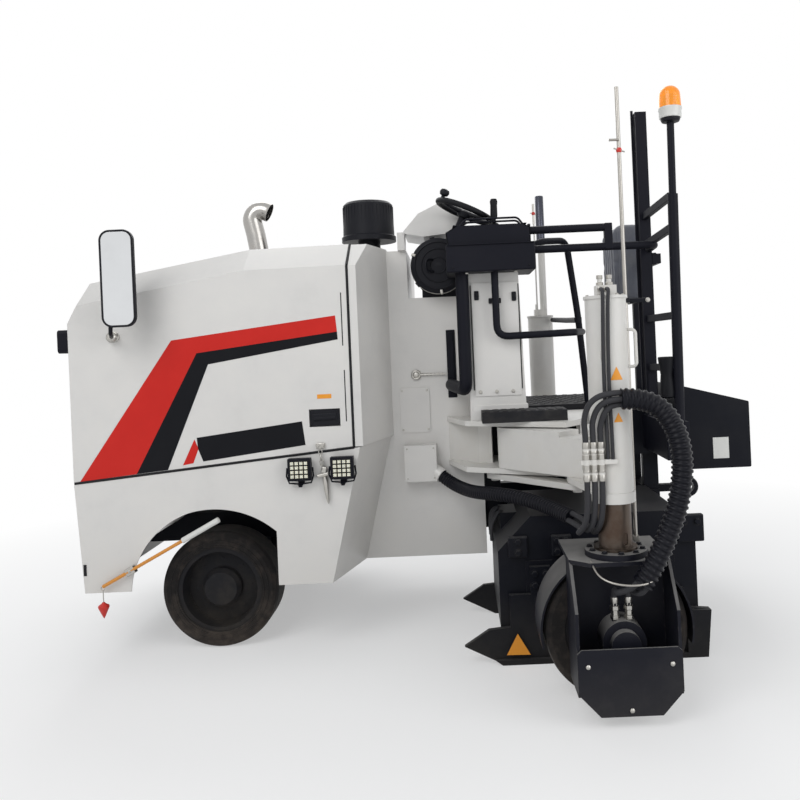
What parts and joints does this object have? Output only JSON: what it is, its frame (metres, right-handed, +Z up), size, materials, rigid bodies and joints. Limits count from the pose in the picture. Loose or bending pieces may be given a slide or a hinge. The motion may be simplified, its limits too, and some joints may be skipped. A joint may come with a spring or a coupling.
{
  "type": "wheeled compact cold planer milling machine",
  "caption": "Compact wheeled cold planer with a hooded engine, a swing-out rear leg wheel, a milling drum in its housing and a standing operator's console.",
  "frame": {"origin": "middle of the machine's outline on the ground, with the left leg swung out", "axes": "+X forward, to the engine end; +Y to the machine's left, the side of the swinging leg; +Z up"},
  "size_m": [3.302, 2.5145, 2.572],
  "materials": {
    "body_paint": "satin",
    "black_paint": "satin",
    "steel": "satin",
    "chrome_pipe": "gloss",
    "cast": "satin",
    "tyre_rubber": "matte",
    "hose_rubber": "matte",
    "black_plastic": "matte",
    "orange_lens": "gloss",
    "orange_paint": "satin",
    "pad_fabric": "matte",
    "tool_steel": "satin"
  },
  "bodies": {
    "chassis": {"air_cleaner": "black_plastic", "air_precleaner": "black_plastic", "backrest": "pad_fabric", "beacon": "orange_lens", "chassis_frame": "body_paint", "console_pedestal": "body_paint", "control_console": "black_paint", "dash_cover": "body_paint", "drum_housing": "black_paint", "engine_block": "cast", "fender_left": "body_paint", "fender_right": "body_paint", "front_axle": "black_paint", "front_panel": "body_paint", "guide_pointer": "orange_paint", "handrails": "black_paint", "hose_lower": "hose_rubber", "mid_body": "body_paint", "platform_deck": "black_paint", "post_frame": "black_paint", "rear_box": "black_paint", "rear_cowl": "body_paint", "right_barrel": "body_paint", "steering_wheel": "black_plastic", "swing_bracket": "body_paint", "tow_eye": "black_paint", "work_lights": "black_plastic"},
    "hood": {"hood_shell": "body_paint", "exhaust_pipe": "chrome_pipe", "mirror_left": "black_plastic", "mirror_right": "black_plastic", "headlights": "black_plastic"},
    "steer_left": {"knuckle_left": "black_paint"},
    "steer_right": {"knuckle_right": "black_paint"},
    "tie_bar": {"tie_rod": "black_paint"},
    "wheel_front_left": {"tyre_front_left": "tyre_rubber", "rim_front_left": "cast"},
    "wheel_front_right": {"tyre_front_right": "tyre_rubber", "rim_front_right": "cast"},
    "arm": {"swing_arm": "body_paint"},
    "link": {"guide_link": "body_paint"},
    "leg_left": {"left_barrel": "body_paint", "hose_trio": "hose_rubber", "hose_lines": "hose_rubber", "hose_upper": "hose_rubber"},
    "column_left": {"column_left": "steel", "yoke_left": "black_paint", "scale_rod": "steel", "hose_motor": "hose_rubber"},
    "wheel_rear_left": {"tyre_rear_left": "tyre_rubber", "rim_rear_left": "cast"},
    "column_right": {"column_right": "steel", "yoke_right": "black_paint"},
    "wheel_rear_right": {"tyre_rear_right": "tyre_rubber", "rim_rear_right": "cast"},
    "drum": {"milling_drum": "tool_steel"},
    "skid_left": {"side_plate_left": "black_paint"},
    "skid_right": {"side_plate_right": "black_paint"},
    "scraper_plate": {"scraper": "black_paint"}
  },
  "joints": [
    {"name": "hood_tilt", "type": "hinge", "parent": "chassis", "child": "hood", "pos_m": [1.588, -0.3215, 0.846], "axis": [0, 1, 0], "range_deg": [0, 50]},
    {"name": "steer_left", "type": "hinge", "parent": "chassis", "child": "steer_left", "pos_m": [0.973, 0.0085, 0.28], "axis": [0, 0, 1], "range_deg": [-28, 28]},
    {"name": "steer_right", "type": "hinge", "parent": "chassis", "child": "steer_right", "pos_m": [0.973, -0.6515, 0.28], "axis": [0, 0, 1], "range_deg": [-28, 28]},
    {"name": "tie_rod_pin", "type": "hinge", "parent": "steer_left", "child": "tie_bar", "pos_m": [0.823, 0.0085, 0.24], "axis": [0, 0, 1], "range_deg": [-28, 28]},
    {"name": "front_left_roll", "type": "hinge", "parent": "steer_left", "child": "wheel_front_left", "pos_m": [0.973, 0.177, 0.2795], "axis": [0, 1, 0], "continuous": true},
    {"name": "front_right_roll", "type": "hinge", "parent": "steer_right", "child": "wheel_front_right", "pos_m": [0.973, -0.82, 0.2795], "axis": [0, 1, 0], "continuous": true},
    {"name": "leg_swing", "type": "hinge", "parent": "chassis", "child": "arm", "pos_m": [-0.4585, 0.3585, 0.92], "axis": [0, 0, 1], "range_deg": [-149.3, 0], "deforming": ["hose_lower"]},
    {"name": "guide_swing", "type": "hinge", "parent": "chassis", "child": "link", "pos_m": [-0.3786, 0.2983, 0.78], "axis": [0, 0, 1], "range_deg": [-149.3, 0]},
    {"name": "leg_keep", "type": "hinge", "parent": "arm", "child": "leg_left", "pos_m": [-0.792, 0.7385, 0.92], "axis": [0, 0, 1], "range_deg": [0, 149.3]},
    {"name": "left_leg_lift", "type": "slide", "parent": "leg_left", "child": "column_left", "axis": [0, 0, 1], "range_m": [-0.12, 0.15], "deforming": ["hose_upper", "hose_trio"]},
    {"name": "rear_left_roll", "type": "hinge", "parent": "column_left", "child": "wheel_rear_left", "pos_m": [-0.792, 0.9185, 0.2795], "axis": [0, 1, 0], "continuous": true},
    {"name": "right_leg_lift", "type": "slide", "parent": "chassis", "child": "column_right", "axis": [0, 0, 1], "range_m": [-0.12, 0.15]},
    {"name": "rear_right_roll", "type": "hinge", "parent": "column_right", "child": "wheel_rear_right", "pos_m": [-0.762, -0.8015, 0.2795], "axis": [0, 1, 0], "continuous": true},
    {"name": "drum_spin", "type": "hinge", "parent": "chassis", "child": "drum", "pos_m": [-0.852, 0.2735, 0.325], "axis": [0, 1, 0], "continuous": true},
    {"name": "skid_left_lift", "type": "slide", "parent": "chassis", "child": "skid_left", "axis": [0, 0, 1], "range_m": [-0.03, 0.15]},
    {"name": "skid_right_lift", "type": "slide", "parent": "chassis", "child": "skid_right", "axis": [0, 0, 1], "range_m": [-0.03, 0.15]},
    {"name": "scraper_lift", "type": "slide", "parent": "chassis", "child": "scraper_plate", "axis": [0, 0, 1], "range_m": [0, 0.13]}
  ],
  "couplings": [
    {"joint": "steer_right", "follows": "steer_left", "ratio": 1},
    {"joint": "tie_rod_pin", "follows": "steer_left", "ratio": -1},
    {"joint": "guide_swing", "follows": "leg_swing", "ratio": 1},
    {"joint": "leg_keep", "follows": "leg_swing", "ratio": -1}
  ]
}
